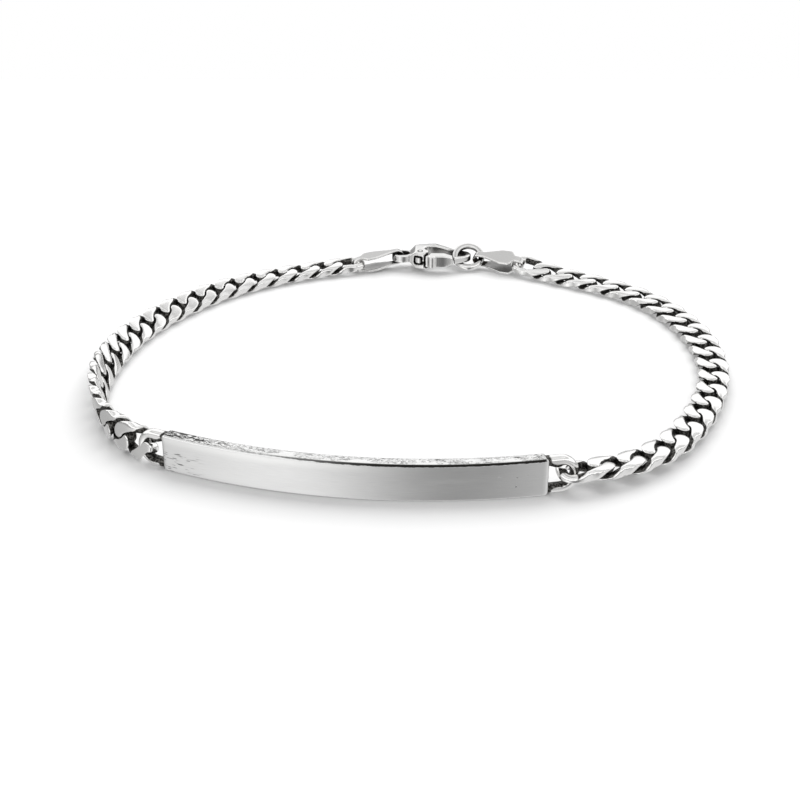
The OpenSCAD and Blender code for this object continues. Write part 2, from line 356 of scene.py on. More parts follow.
def polishedSilver(name, gloss, level, spread=0.08, ragged=0.3, warm=0.0, marks=0.016):
    mat = bpy.data.materials.new(name)
    mat.use_nodes = True
    tree = mat.node_tree
    bsdf = tree.nodes["Principled BSDF"]
    bsdf.inputs["Metallic"].default_value = 1.0
    recessAndShade = addNode(tree, "ShaderNodeAttribute", attribute_name="recessAndShade")
    tarnishAndShade = placeGroup(tree, tarnishAndShadeGroup, Level=level, Ragged=ragged)
    join(tree, recessAndShade.outputs["Fac"], tarnishAndShade.inputs["RecessAndShade"])
    polish = placeGroup(tree, polishGroup, Gloss=gloss, Spread=spread)
    dark, pale = [tuple(a + warm * (b - a) for a, b in zip(silverTone[t], silverTone["warmOxide"]))
                  for t in ("oxideAndShade", "paleOxideAndShade")]
    # the dark tone is oxide, and painted shade where the recess value carries it
    stainAndShade = mixColor(tree, tarnishAndShade.outputs["Grain"], dark, pale)
    color = mixColor(tree, tarnishAndShade.outputs["Mask"], silverTone["clean"], stainAndShade)
    join(tree, color, bsdf.inputs["Base Color"])
    rough = mathNode(tree, "ADD", polish.outputs["Roughness"], tarnishAndShade.outputs["Roughness"])
    join(tree, rough, bsdf.inputs["Roughness"])
    bump = addNode(tree, "ShaderNodeBump")
    bump.inputs["Strength"].default_value = 1.0
    bump.inputs["Distance"].default_value = marks * mm
    join(tree, polish.outputs["Height"], bump.inputs["Height"])
    join(tree, bump.outputs["Normal"], bsdf.inputs["Normal"])
    return mat


# its dark tone is oxide and painted shade between the links and on the end rings
chainSilver = polishedSilver("chainSilver", gloss=0.1, level=0.5)


# mesh helpers

def addPiece(name, points, faces, materials, smoothAngle, attributes=None):
    data = bpy.data.meshes.new(name)
    data.from_pydata([tuple(p) for p in np.asarray(points) * mm], [], faces)
    for label, values in (attributes or {}).items():
        layer = data.attributes.new(label, "FLOAT", "POINT")
        layer.data.foreach_set("value", np.asarray(values, dtype=np.float32))
    for mat in materials:
        data.materials.append(mat)
    data.update()
    bm = bmesh.new()
    bm.from_mesh(data)
    bmesh.ops.recalc_face_normals(bm, faces=bm.faces)
    bm.to_mesh(data)
    bm.free()
    data.shade_smooth()
    data.set_sharp_from_angle(angle=math.radians(smoothAngle))
    piece = bpy.data.objects.new(name, data)
    bpy.context.collection.objects.link(piece)
    return piece


def tubeFaces(rings, sides, closed=True):
    faces = []
    for i in range(rings if closed else rings - 1):
        here, after = i * sides, (i + 1) % rings * sides
        for k in range(sides):
            m = (k + 1) % sides
            faces.append((here + k, here + m, after + m, after + k))
    if not closed:
        faces.append(tuple(range(sides)))
        faces.append(tuple((rings - 1) * sides + k for k in range(sides)))
    return faces


def settle(piece, body, nodes):
    # hands a finished piece to the frame
    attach(piece, body)
    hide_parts(*nodes)


def unit(v):
    return v / np.linalg.norm(v, axis=-1, keepdims=True)


def softLimit(values, limit, power):
    # like a file stroke: flat at the limit, with a rounded edge
    share = np.abs(values) / limit
    return values / (1 + share ** power) ** (1 / power)


# name bar with its end rings

bar = {
    "height": 3.5,
    "thickness": 1.4,
    "radius": 52.7,
    "angle": 37.8,
    "edge": 0.2,
    "endEdge": 0.32,
    "centre": (1.1, 21.5),
    "midAngle": -97.6,
    "steps": 150,
    "easeSteps": 5,
}
bar["midRadius"] = bar["radius"] - bar["thickness"] / 2

endRing = {
    "wire": 0.75,
    "edge": 0.36,
    "radius": 1.35,
    "arm": 1.15,
    "sink": 0.3,
    "broad": 1.0,
    "petal": 0.3,
    "petalPlace": 0.75,
    "petalWidth": 0.6,
    "armSteps": 7,
    "bendSteps": 26,
    # how dark each part of the ring is: oxide with painted shade inside and at the bar, painted
    # shade alone on the flanks and under the lower arm
    "insideDark": 0.6,
    "barDark": 0.6,
    "barReach": (0.55, 0.5),
    "flankShade": 0.12,
    "underShade": {-1: 0.34, 1: 0.1},
}


def barEnd(side):
    a = math.radians(bar["midAngle"] + side * bar["angle"] / 2)
    return np.array([bar["centre"][0] + bar["midRadius"] * math.cos(a),
                     bar["centre"][1] + bar["midRadius"] * math.sin(a), bar["height"] / 2])


def barHeading(side):
    return bar["midAngle"] + side * bar["angle"] / 2 + side * 90


def ahead(heading, distance):
    a = math.radians(heading)
    return np.array([distance * math.cos(a), distance * math.sin(a), 0.0])


def roundedBox(width, height, edge, cornerSteps, sideSteps=(1, 1)):
    # outline, counter-clockwise from the lower right corner, as (outward, up) pairs
    pts = []
    corners = [(1, -1, -90), (1, 1, 0), (-1, 1, 90), (-1, -1, 180)]
    for n, (sx, sy, start) in enumerate(corners):
        cx, cy = sx * (width / 2 - edge), sy * (height / 2 - edge)
        for k in range(cornerSteps + 1):
            a = math.radians(start + 90 * k / cornerSteps)
            pts.append((cx + edge * math.cos(a), cy + edge * math.sin(a)))
        nextX, nextY, _ = corners[(n + 1) % 4]
        nx, ny = nextX * (width / 2 - edge), nextY * (height / 2 - edge)
        a = math.radians(start + 90)
        ox, oy = edge * math.cos(a), edge * math.sin(a)
        count = sideSteps[n % 2]
        for k in range(1, count):
            f = k / count
            pts.append((cx + (nx - cx) * f + ox, cy + (ny - cy) * f + oy))
    return np.array(pts)


def buildBar():
    profile = roundedBox(bar["thickness"], bar["height"], bar["edge"], cornerSteps=4,
                         sideSteps=(6, 3))
    half = math.radians(bar["angle"] / 2)
    ease = bar["endEdge"] / bar["midRadius"]
    turns = [(-half + ease * (1 - math.cos(a)), 1 - math.sin(a))
             for a in np.linspace(0, math.pi / 2, bar["easeSteps"])]
    stations = turns + [(a, 0.0) for a in np.linspace(-half + ease, half - ease, bar["steps"])[1:-1]]
    stations += [(-a, inset) for a, inset in reversed(turns)]
    mid = math.radians(bar["midAngle"])
    points, uvs = [], []
    for a, inset in stations:
        for out, up in profile:
            w = 1 - inset * bar["edge"] / (bar["thickness"] / 2)
            h = 1 - inset * bar["endEdge"] / (bar["height"] / 2)
            r = bar["midRadius"] + out * w
            points.append((bar["centre"][0] + r * math.cos(mid + a),
                           bar["centre"][1] + r * math.sin(mid + a),
                           bar["height"] / 2 + up * h))
            uvs.append((a * bar["radius"], up, out))
    faces = tubeFaces(len(stations), len(profile), closed=False)
    piece = addPiece("nameBar", np.array(points) + homeShift, faces, [], smoothAngle=35)
    layer = piece.data.attributes.new("onBar", "FLOAT_VECTOR", "POINT")
    layer.data.foreach_set("vector", np.array(uvs, dtype=np.float32).ravel())
    return piece


def buildEndRing(side):
    # a half-round bend between two straight arms, standing up at the bar's end
    path, outs = [], []
    r, arm, sink = endRing["radius"], endRing["arm"], endRing["sink"]
    for x in np.linspace(-sink, arm, endRing["armSteps"])[:-1]:
        path.append((x, -r))
        outs.append((0, -1))
    for a in np.linspace(-90, 90, endRing["bendSteps"]):
        path.append((arm + r * math.cos(math.radians(a)), r * math.sin(math.radians(a))))
        outs.append((math.cos(math.radians(a)), math.sin(math.radians(a))))
    for x in np.linspace(arm, -sink, endRing["armSteps"])[1:]:
        path.append((x, r))
        outs.append((0, 1))
    profile = roundedBox(endRing["wire"], endRing["broad"], endRing["edge"], cornerSteps=5)
    heading = math.radians(barHeading(side))
    along = np.array([math.cos(heading), math.sin(heading), 0])
    across = np.array([-math.sin(heading), math.cos(heading), 0])
    up = np.array([0, 0, 1.0])
    barReach, barFade = endRing["barReach"]
    points, recessAndShade = [], []
    for (x, z), (ox, oz) in zip(path, outs):
        # the upper arm swells inward like a petal
        fromPetal = (x - arm * endRing["petalPlace"]) / endRing["petalWidth"]
        petal = endRing["petal"] * math.exp(-fromPetal ** 2) if z > 0 else 0
        for out, wide in profile:
            out = out - petal if out < 0 else out
            points.append(barEnd(side) + (x + ox * out) * along + (z + oz * out) * up
                          + wide * across)
            inner = -out / (endRing["wire"] / 2)
            nearBar = min(max((barReach - x) / barFade, 0), 1)
            under = min(max(-z / endRing["radius"], 0), 1)
            flank = abs(wide) / (endRing["broad"] / 2)
            # painted shade on the flanks and under the lower arm, oxide with painted shade inside
            # and at the bar
            recessAndShade.append(endRing["insideDark"] * max(0.0, inner) + endRing["barDark"] * nearBar
                          + endRing["flankShade"] * flank + endRing["underShade"][side] * under)
    faces = tubeFaces(len(path), len(profile), closed=False)
    name = "leftEndRing" if side < 0 else "rightEndRing"
    return addPiece(name, np.array(points) + homeShift, faces, [chainSilver],
                    smoothAngle=35, attributes={"recessAndShade": recessAndShade})


barFinish = {
    # noises on the bar: stretch along, up and out, then size, detail and shift
    "brush": ((0.22, 9, 1), 3.0, 5),
    "gloss": ((0.25, 1.6, 1), 0.9, 2),
    "dashes": ((0.9, 7.5, 1), 1.15, 1, (3.1, 0.7, 0)),
    "pits": ((1.6, 3.2, 1), 1.5, 1, (8.4, 2.2, 0)),
    "crawl": ((1.0, 1, 4.2), 1.7, 5, (1.7, 0, 0.4)),
    "patches": ((0.32, 1, 0.8), 1.1, 2, (2.2, 0, 0)),
    "blots": ((0.6, 1, 2.4), 1.7, 3, (5, 0, 2)),
    "fray": ((1.3, 1, 1), 1.6, 4, (0, 0, 6)),
    # spans on the bar, in millimetres, over which a face or a mark comes or goes
    "topFace": (1.6, 1.68),
    "frontFace": (0.62, 0.68),
    "rearEdge": (-0.66, -0.5),
    "markHeight": (0.1, 0.7),
    "dashEnd": (-15.8, -12.6),
    "pitStart": (12.2, 13.6),
    "pitEnd": (14.6, 16.4),
    "crowdEnd": (-13.5, -6.0),
    "blotEnd": (-17.0, -9.5),
    "topWidth": (0.42, 0.6),
    "seamRise": (-12.0, 3.5),
    "seamDepth": (0.03, 0.08),
    "seamOut": (0.46, 0.54),
    "seamEnd": (17.0, 17.25),
    # where the painted sheen lies on the front face
    "sheenHeight": (0.7, 1.5),
    "sheenEnd": (-2.0, 6.0),
    # spans of a noise over which it turns into a mark
    "brushCut": (0.3, 0.7),
    "dashCut": (0.62, 0.67),
    "pitCut": (0.7, 0.74),
    "lineCut": (0.01, 0.032),
    "patchCut": (0.42, 0.58),
    "blotCut": (0.63, 0.69),
    # how strong each mark is
    "patchShare": 0.75,
    "blotLift": 0.16,
    "frayShare": 0.16,
    "seamTop": 1.79,
    "seamDrop": 0.17,
    # the grey line of painted shade along the rear edge of the top
    "rearShadeShare": 0.55,
    "markShare": 0.7,
    # how bright the painted sheen gets
    "sheenShare": 0.9,
    "satin": 0.2,
    "gleam": (0.12, 0.1),
    "darkRough": 0.3,
    "grain": 0.005,
    "dent": 0.06,
}


def less(tree, value, span):
    # full below the span and nothing above it
    low, high = span
    return rampNode(tree, mathNode(tree, "MULTIPLY", value, -1.0), -high, -low)


def more(tree, value, span):
    # nothing below the span and full above it
    return rampNode(tree, value, *span)


def times(tree, *values):
    product = values[0]
    for value in values[1:]:
        product = mathNode(tree, "MULTIPLY", product, value)
    return product


def barNoise(tree, place, label):
    scale, size, detail, *shift = barFinish[label]
    mapping = addNode(tree, "ShaderNodeMapping")
    mapping.inputs["Scale"].default_value = scale
    if shift:
        mapping.inputs["Location"].default_value = shift[0]
    join(tree, place, mapping.inputs["Vector"])
    noise = addNode(tree, "ShaderNodeTexNoise")
    noise.inputs["Scale"].default_value = size
    noise.inputs["Detail"].default_value = detail
    join(tree, mapping.outputs["Vector"], noise.inputs["Vector"])
    return noise.outputs["Fac"]


def faceMarks(tree, place, along, up, frontFace):
    # short dark dashes near the left end of the front face, a few pits near the right end
    low = less(tree, up, barFinish["markHeight"])
    dashes = times(tree, more(tree, barNoise(tree, place, "dashes"), barFinish["dashCut"]),
                   less(tree, along, barFinish["dashEnd"]), low)
    pits = times(tree, more(tree, barNoise(tree, place, "pits"), barFinish["pitCut"]),
                 more(tree, along, barFinish["pitStart"]),
                 less(tree, along, barFinish["pitEnd"]), low)
    return times(tree, mathNode(tree, "ADD", dashes, pits, clamp=True), frontFace)


def topLines(tree, place, along, out, topFace):
    # crawling dark lines on the top edge: dense at the left end, sparse along the middle
    crawl = mathNode(tree, "SUBTRACT", barNoise(tree, place, "crawl"), 0.5)
    line = less(tree, mathNode(tree, "ABSOLUTE", crawl), barFinish["lineCut"])
    patches = more(tree, barNoise(tree, place, "patches"), barFinish["patchCut"])
    crowd = mathNode(tree, "MAXIMUM", less(tree, along, barFinish["crowdEnd"]),
                     times(tree, patches, barFinish["patchShare"]))
    lift = times(tree, less(tree, along, barFinish["blotEnd"]), barFinish["blotLift"])
    blotted = mathNode(tree, "ADD", barNoise(tree, place, "blots"), lift)
    blots = more(tree, blotted, barFinish["blotCut"])
    lines = mathNode(tree, "MAXIMUM", times(tree, line, crowd), blots)
    inside = less(tree, mathNode(tree, "ABSOLUTE", out), barFinish["topWidth"])
    return times(tree, lines, inside, topFace)


def bevelSeam(tree, place, along, up, out):
    # the dark line under the front bevel, thin at the left and full at the right
    rise = more(tree, along, barFinish["seamRise"])
    fray = times(tree, barNoise(tree, place, "fray"), barFinish["frayShare"])
    start = mathNode(tree, "SUBTRACT", barFinish["seamTop"],
                     times(tree, rise, barFinish["seamDrop"]))
    height = mathNode(tree, "SUBTRACT", mathNode(tree, "ADD", up, fray), start)
    seam = times(tree, more(tree, height, barFinish["seamDepth"]),
                 more(tree, out, barFinish["seamOut"]), less(tree, along, barFinish["seamEnd"]))
    return times(tree, seam, mathNode(tree, "ADD", times(tree, rise, 0.5), 0.5))


def barTone(tree, brush, dark, paintedSheen):
    # brushed silver, with a painted sheen along the left part of the upper rim, and the dark marks
    # and painted shade
    strokes = rampNode(tree, brush, *barFinish["brushCut"], smooth=False)
    tone = mixColor(tree, strokes, silverTone["brushLow"], silverTone["brushHigh"])
    tone = mixColor(tree, times(tree, paintedSheen, barFinish["sheenShare"]), tone,
                    silverTone["paintedSheen"])
    return mixColor(tree, dark, tone, silverTone["oxideAndShade"])


def barRoughness(tree, place, dark, frontFace):
    spread, least = barFinish["gleam"]
    cloud = times(tree, barNoise(tree, place, "gloss"), spread)
    rough = mathNode(tree, "ADD", cloud, least)
    rough = mathNode(tree, "ADD", rough, times(tree, frontFace, barFinish["satin"]))
    return mathNode(tree, "ADD", rough, times(tree, dark, barFinish["darkRough"]))


def barRelief(tree, brush, dark):
    # fine brush grain, with the dark marks sunk as dents
    grain = addNode(tree, "ShaderNodeBump")
    grain.inputs["Distance"].default_value = barFinish["grain"] * mm
    join(tree, brush, grain.inputs["Height"])
    dents = addNode(tree, "ShaderNodeBump", invert=True)
    dents.inputs["Distance"].default_value = barFinish["dent"] * mm
    join(tree, dark, dents.inputs["Height"])
    join(tree, grain.outputs["Normal"], dents.inputs["Normal"])
    return dents.outputs["Normal"]


def brushedSilver():
    # satin front face with long brush lines; the top edge keeps dark marks in its hammered dents
    mat = bpy.data.materials.new("brushedSilver")
    mat.use_nodes = True
    tree = mat.node_tree
    bsdf = tree.nodes["Principled BSDF"]
    bsdf.inputs["Metallic"].default_value = 1.0
    place = addNode(tree, "ShaderNodeAttribute", attribute_name="onBar").outputs["Vector"]
    split = addNode(tree, "ShaderNodeSeparateXYZ")
    join(tree, place, split.inputs["Vector"])
    along, up, out = split.outputs
    topFace = more(tree, up, barFinish["topFace"])
    frontFace = more(tree, out, barFinish["frontFace"])
    brush = barNoise(tree, place, "brush")
    marks = times(tree, faceMarks(tree, place, along, up, frontFace), barFinish["markShare"])
    # painted shade: a grey line along the rear edge of the top
    rearShade = times(tree, less(tree, out, barFinish["rearEdge"]), topFace, barFinish["rearShadeShare"])
    dark = mathNode(tree, "MAXIMUM", topLines(tree, place, along, out, topFace), marks)
    for part in (bevelSeam(tree, place, along, up, out), rearShade):
        dark = mathNode(tree, "MAXIMUM", dark, part)
    # painted sheen: the upper part of the front face brighter toward the left end
    paintedSheen = times(tree, more(tree, up, barFinish["sheenHeight"]),
                   less(tree, along, barFinish["sheenEnd"]), frontFace)
    join(tree, barTone(tree, brush, dark, paintedSheen), bsdf.inputs["Base Color"])
    join(tree, barRoughness(tree, place, dark, frontFace), bsdf.inputs["Roughness"])
    join(tree, barRelief(tree, brush, dark), bsdf.inputs["Normal"])
    return mat


nameBar = buildBar()
nameBar.data.materials.append(brushedSilver())
settle(nameBar, "bracelet", ["id_bar"])
for side in (-1, 1):
    ring = buildEndRing(side)
    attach(ring, "bracelet")
print("name bar and its end rings are built")


# curb chains

link = {
    "wire": 0.96,
    "play": 0.18,
    "width": 3.5,
    "thickness": 1.15,
    "twist": 52.0,
    "oval": 0.75,
    "rings": 66,
    "sides": 18,
    "outerFull": 0.66,
    "innerFull": 0.52,
    "slit": 0.12,
    "edgeFall": 0.3,
    "dome": 4,
    "rimDome": 7,
    "scallop": 0.17,
    "waist": 0.5,
    "routeSteps": 10,
    "samples": 96,
    # the wire starts thin and is swelled in small steps, each kept only where it has room
    "thinnest": 0.4,
    "firstSwell": 0.42,
    "swellStep": 0.02,
    "smoothing": 4,
    "fallFrom": 0.5,
    "outwardSlope": 1.5,
    "outwardShift": 0.5,
    # the loose ends: the blend's slope, and the offsets of the plain wire and of its shine
    "endBlend": 3,
    "plainFrom": 0.6,
    "freeFrom": 0.9,
    # where bright silver begins and how much further it is full: on the faces, on the rims
    "topShown": (0.61, 0.3),
    "rimShown": (0.76, 0.2),
}

tag = {
    "length": 6.8,
    "sheet": 0.3,
    "leftPlace": (-4.1, 27.05, 1.2),
    "leftTurn": (-1, -7, 16),
    "rightPlace": (11.3, 26.4, 1.3),
    "rightTurn": (22, 0, -22),
}

chains = {
    "left": {
        "count": 21,
        "twists": (108.0, 2.0),
        "startShift": (-0.12, -0.12, -0.1),
        "stopShift": (0.15, 0.1, -0.2),
        "lean": (101, 3),
        "rows": [
            (-25.95, -22.55, 1.7, 95), (-28.1, -20.1, 1.75, 89), (-29.7, -17.2, 1.75, 82),
            (-30.8, -13.8, 1.75, 74), (-31.5, -10.0, 1.7, 66), (-31.7, -6.2, 1.6, 55),
            (-31.5, -2.2, 1.4, 41), (-30.8, 2.2, 1.2, 29), (-29.6, 6.2, 1.05, 22),
            (-27.5, 10.4, 1.05, 20), (-24.8, 14.6, 1.0, 17), (-21.3, 18.6, 0.9, 13),
            (-16.5, 22.3, 0.8, 8), (-11.5, 24.8, 0.8, 5)],
    },
    "right": {
        "count": 22,
        "twists": (28.0, 0.0),
        "startShift": (-0.08, -0.1, 0.0),
        "stopShift": (-0.1, 0.3, 0.0),
        "lean": (-8, -24),
        "rows": [
            (17.8, -27.45, 1.35, -5), (20.9, -25.5, 1.2, -5), (23.5, -22.9, 1.05, -3),
            (25.8, -19.6, 1.0, -1), (27.9, -15.7, 0.95, -1), (29.6, -11.8, 0.85, -3),
            (31.0, -7.4, 0.8, -5), (31.7, -1.5, 0.8, -7), (31.4, 4.2, 0.8, -8),
            (29.8, 10.4, 0.75, -7), (27.1, 15.4, 0.75, -6), (23.2, 19.2, 0.75, -6),
            (18.9, 22.1, 0.8, -9), (16.0, 24.05, 0.95, -16)],
    },
}


def chainRoute(side):
    # the chain's middle line from the bar to the tag: x, y, z and lean
    spec = chains[side]
    sign = -1 if side == "left" else 1
    hook = (endRing["arm"] + endRing["radius"] - endRing["wire"] / 2
            - link["wire"] / 2 - link["play"])
    start = barEnd(sign) + ahead(barHeading(sign), hook) + np.array(spec["startShift"])
    tagHook = tag["length"] / 2 - tag["sheet"] - link["wire"] / 2 - link["play"]
    place, turn = tag[side + "Place"], tag[side + "Turn"]
    stop = np.array(place) + sign * ahead(turn[2], tagHook) + np.array(spec["stopShift"])
    rows = [(*start, spec["lean"][0])] + spec["rows"] + [(*stop, spec["lean"][1])]
    rows = np.array(rows)
    line = []
    for i in range(len(rows) - 1):
        a, b = rows[max(i - 1, 0)], rows[i]
        c, d = rows[i + 1], rows[min(i + 2, len(rows) - 1)]
        for t in np.arange(link["routeSteps"]) / link["routeSteps"]:
            line.append(0.5 * (2 * b + (c - a) * t + (2 * a - 5 * b + 4 * c - d) * t * t
                               + (3 * b - a - 3 * c + d) * t ** 3))
    line.append(rows[-1])
    line = np.array(line)
    steps = np.linalg.norm(np.diff(line[:, :3], axis=0), axis=1)
    return line, np.concatenate([[0], np.cumsum(steps)])


def linkPlaces(side):
    line, along = chainRoute(side)
    count = chains[side]["count"]
    pitch = (along[-1] - link["wire"] - link["play"]) / count
    length = pitch + 2 * link["wire"] + link["play"]
    reach = (length - link["wire"]) / 2
    first, last = chains[side]["twists"]
    places = []
    for i in range(count):
        s = reach + i * pitch
        back, front = [np.array([np.interp(v, along, line[:, c]) for c in range(3)])
                       for v in (s - reach, s + reach)]
        run = front - back
        turn = Euler((math.radians(np.interp(s, along, line[:, 3])),
                      -math.atan2(run[2], math.hypot(run[0], run[1])),
                      math.atan2(run[1], run[0])), "XYZ")
        places.append({"centre": (front + back) / 2 + homeShift, "turn": turn,
                       "twists": (first if i == 0 else link["twist"],
                                  last if i == count - 1 else link["twist"])})
    return places, length


def signedPow(v, p):
    return np.sign(v) * np.abs(v) ** p


def linkLine(length, twists, t):
    a, b = (length - link["wire"]) / 2, (link["width"] - link["wire"]) / 2
    x = a * signedPow(np.cos(t), link["oval"])
    y = b * signedPow(np.sin(t), link["oval"])
    twist = -np.radians(np.where(x < 0, twists[0], twists[1])) * x / a
    return np.stack([x, y * np.cos(twist), y * np.sin(twist)], -1), twist


def nearest(points, line):
    # distance of each point from a line given as samples
    gap = points[..., None, :] - line
    return np.sqrt((gap ** 2).sum(-1)).min(-1)


def endShare(middle, length, end, start):
    # rises from 0 near the link's middle to 1 toward the given end
    share = end * middle[:, 0] / (length / 2) * link["endBlend"] - start
    return np.clip(share, 0, 1)[:, None]


def neighbourLines(places, i, length, fine):
    # the wires of the links beside this one, seen from this link
    here = places[i]
    toHere = (Matrix.Translation(here["centre"]) @ here["turn"].to_matrix().to_4x4()).inverted()
    others = []
    for n in (i - 1, i + 1):
        if 0 <= n < len(places):
            there = places[n]
            line, _ = linkLine(length, there["twists"], fine)
            move = np.array(toHere @ Matrix.Translation(there["centre"])
                            @ there["turn"].to_matrix().to_4x4())
            others.append(line @ move[:3, :3].T + move[:3, 3])
    return np.concatenate(others)


def filedLink(places, i, length):
    # the wire of one link, swelled until only thin slits are left to its neighbours
    here = places[i]
    t = 2 * np.pi * (np.arange(link["rings"]) + 0.5) / link["rings"]
    middle, twist = linkLine(length, here["twists"], t)
    step = 0.02
    before, _ = linkLine(length, here["twists"], t - step)
    after, _ = linkLine(length, here["twists"], t + step)
    along = unit(after - before)
    flat = np.stack([np.zeros_like(twist), -np.sin(twist), np.cos(twist)], -1)
    side = unit(np.cross(along, flat))
    up = np.cross(side, along)
    k = 2 * np.pi * np.arange(link["sides"]) / link["sides"]
    ways = (np.cos(k)[None, :, None] * side[:, None] + np.sin(k)[None, :, None] * up[:, None])
    fine = 2 * np.pi * np.arange(link["samples"]) / link["samples"]
    own, _ = linkLine(length, here["twists"], fine)
    others = neighbourLines(places, i, length, fine)
    radius = np.full(ways.shape[:2], link["thinnest"])
    growing = np.ones_like(radius, dtype=bool)
    outward = np.clip(np.cos(k) * link["outwardSlope"] + link["outwardShift"], 0, 1)
    outward = outward * outward * (3 - 2 * outward)
    fullest = link["innerFull"] + (link["outerFull"] - link["innerFull"]) * outward
    past = link["outerFull"] + 0.001  # a little past it, so that the last step counts
    for r in np.arange(link["firstSwell"], past, link["swellStep"]):
        p = middle[:, None] + r * ways
        room = nearest(p, others) - nearest(p, own)
        growing &= (room > link["slit"]) & (r <= fullest)[None, :]
        radius = np.where(growing, r, radius)
    # the loose ends keep the plain wire, to hang in the ring and in the tag
    ends = []
    if i == 0:
        ends.append(-1)
    if i == len(places) - 1:
        ends.append(1)
    for end in ends:
        outer = endShare(middle, length, end, link["plainFrom"])
        radius = radius * (1 - outer) + np.minimum(radius, link["wire"] / 2) * outer
    for _ in range(link["smoothing"]):
        ring = (np.roll(radius, 1, 0) + np.roll(radius, -1, 0)
                + np.roll(radius, 1, 1) + np.roll(radius, -1, 1)) / 4
        radius = np.minimum(radius, 0.5 * radius + 0.5 * ring)
    points = middle[:, None] + radius[..., None] * ways
    waist = 1 - link["scallop"] * np.exp(-(points[..., 0] / link["waist"]) ** 2)
    half = link["width"] / 2 * waist
    points[..., 1] = softLimit(points[..., 1], half, link["rimDome"])
    rim = np.abs(points[..., 1]) / half
    fall = np.clip((rim - link["fallFrom"]) / (1 - link["fallFrom"]), 0, 1)
    level = link["thickness"] / 2 * (1 - link["edgeFall"] * fall * fall)
    points[..., 2] = softLimit(points[..., 2], level, link["dome"])
    top = np.abs(points[..., 2]) / level
    # below the bright faces and rims the wire stays dark: oxide, and painted shade between the links
    (topStart, topRun), (rimStart, rimRun) = link["topShown"], link["rimShown"]
    shown = np.maximum(np.clip((top - topStart) / topRun, 0, 1),
                       np.clip((rim - rimStart) / rimRun, 0, 1))
    for end in ends:
        shown = np.maximum(shown, endShare(middle, length, end, link["freeFrom"]))
    return points.reshape(-1, 3), 1 - shown.ravel()


def linkTree():
    # sets one filed link on every point of the chain's route
    tree = bpy.data.node_groups.new("curbChain", "GeometryNodeTree")
    face = tree.interface
    face.new_socket("Route", in_out="INPUT", socket_type="NodeSocketGeometry")
    face.new_socket("Links", in_out="INPUT", socket_type="NodeSocketCollection")
    face.new_socket("Link Scale", in_out="INPUT", socket_type="NodeSocketFloat")
    face.new_socket("Finish", in_out="INPUT", socket_type="NodeSocketMaterial")
    face.new_socket("Chain", in_out="OUTPUT", socket_type="NodeSocketGeometry")
    given = tree.nodes.new("NodeGroupInput")
    result = tree.nodes.new("NodeGroupOutput")
    pick = addNode(tree, "GeometryNodeCollectionInfo", transform_space="ORIGINAL")
    pick.inputs["Separate Children"].default_value = True
    pick.inputs["Reset Children"].default_value = True
    join(tree, given.outputs["Links"], pick.inputs["Collection"])
    turn = addNode(tree, "GeometryNodeInputNamedAttribute", data_type="FLOAT_VECTOR")
    turn.inputs["Name"].default_value = "turn"
    rotation = addNode(tree, "FunctionNodeEulerToRotation")
    join(tree, turn.outputs["Attribute"], rotation.inputs["Euler"])
    number = addNode(tree, "GeometryNodeInputIndex")
    lay = addNode(tree, "GeometryNodeInstanceOnPoints")
    lay.inputs["Pick Instance"].default_value = True
    join(tree, given.outputs["Route"], lay.inputs["Points"])
    join(tree, pick.outputs["Instances"], lay.inputs["Instance"])
    join(tree, number.outputs["Index"], lay.inputs["Instance Index"])
    join(tree, rotation.outputs["Rotation"], lay.inputs["Rotation"])
    join(tree, given.outputs["Link Scale"], lay.inputs["Scale"])
    real = addNode(tree, "GeometryNodeRealizeInstances")
    join(tree, lay.outputs["Instances"], real.inputs["Geometry"])
    paint = addNode(tree, "GeometryNodeSetMaterial")
    join(tree, real.outputs["Geometry"], paint.inputs["Geometry"])
    join(tree, given.outputs["Finish"], paint.inputs["Material"])
    join(tree, paint.outputs["Geometry"], result.inputs["Chain"])
    return tree


def socketOf(tree, label):
    for item in tree.interface.items_tree:
        if item.item_type == "SOCKET" and item.in_out == "INPUT" and item.name == label:
            return item.identifier


curbTree = linkTree()


def bake(source, name):
    # turns what the modifier makes into a plain mesh, and drops the source
    bpy.context.view_layer.update()
    seen = source.evaluated_get(bpy.context.evaluated_depsgraph_get())
    data = bpy.data.meshes.new_from_object(seen)
    data.name = name
    source.modifiers.clear()
    piece = bpy.data.objects.new(name, data)
    bpy.context.collection.objects.link(piece)
    bpy.data.objects.remove(source)
    return piece


def buildChain(side):
    places, length = linkPlaces(side)
    pattern = bpy.data.collections.new(side + "Links")
    faces = tubeFaces(link["rings"], link["sides"])
    for i in range(len(places)):
        points, recessAndShade = filedLink(places, i, length)
        one = addPiece(f"{side}Link{i:02d}", points, faces, [], smoothAngle=38,
                       attributes={"recessAndShade": recessAndShade})
        bpy.context.collection.objects.unlink(one)
        pattern.objects.link(one)
    route = bpy.data.meshes.new(side + "Route")
    route.from_pydata([tuple(p["centre"] * mm) for p in places], [], [])
    layer = route.attributes.new("turn", "FLOAT_VECTOR", "POINT")
    layer.data.foreach_set("vector", [v for p in places for v in p["turn"]])
    source = bpy.data.objects.new(side + "Route", route)
    bpy.context.collection.objects.link(source)
    lay = source.modifiers.new("curbChain", "NODES")
    lay.node_group = curbTree
    lay[socketOf(curbTree, "Links")] = pattern
    lay[socketOf(curbTree, "Link Scale")] = 1.0
    lay[socketOf(curbTree, "Finish")] = chainSilver
    piece = bake(source, side + "Chain")
    for one in list(pattern.objects):
        bpy.data.objects.remove(one)
    bpy.data.collections.remove(pattern)
    settle(piece, "bracelet", ["chain_" + side])
    print(side, "chain:", len(places), "links,", len(piece.data.polygons), "faces")


for side in ("left", "right"):
    buildChain(side)


# tags, jump ring and clasp

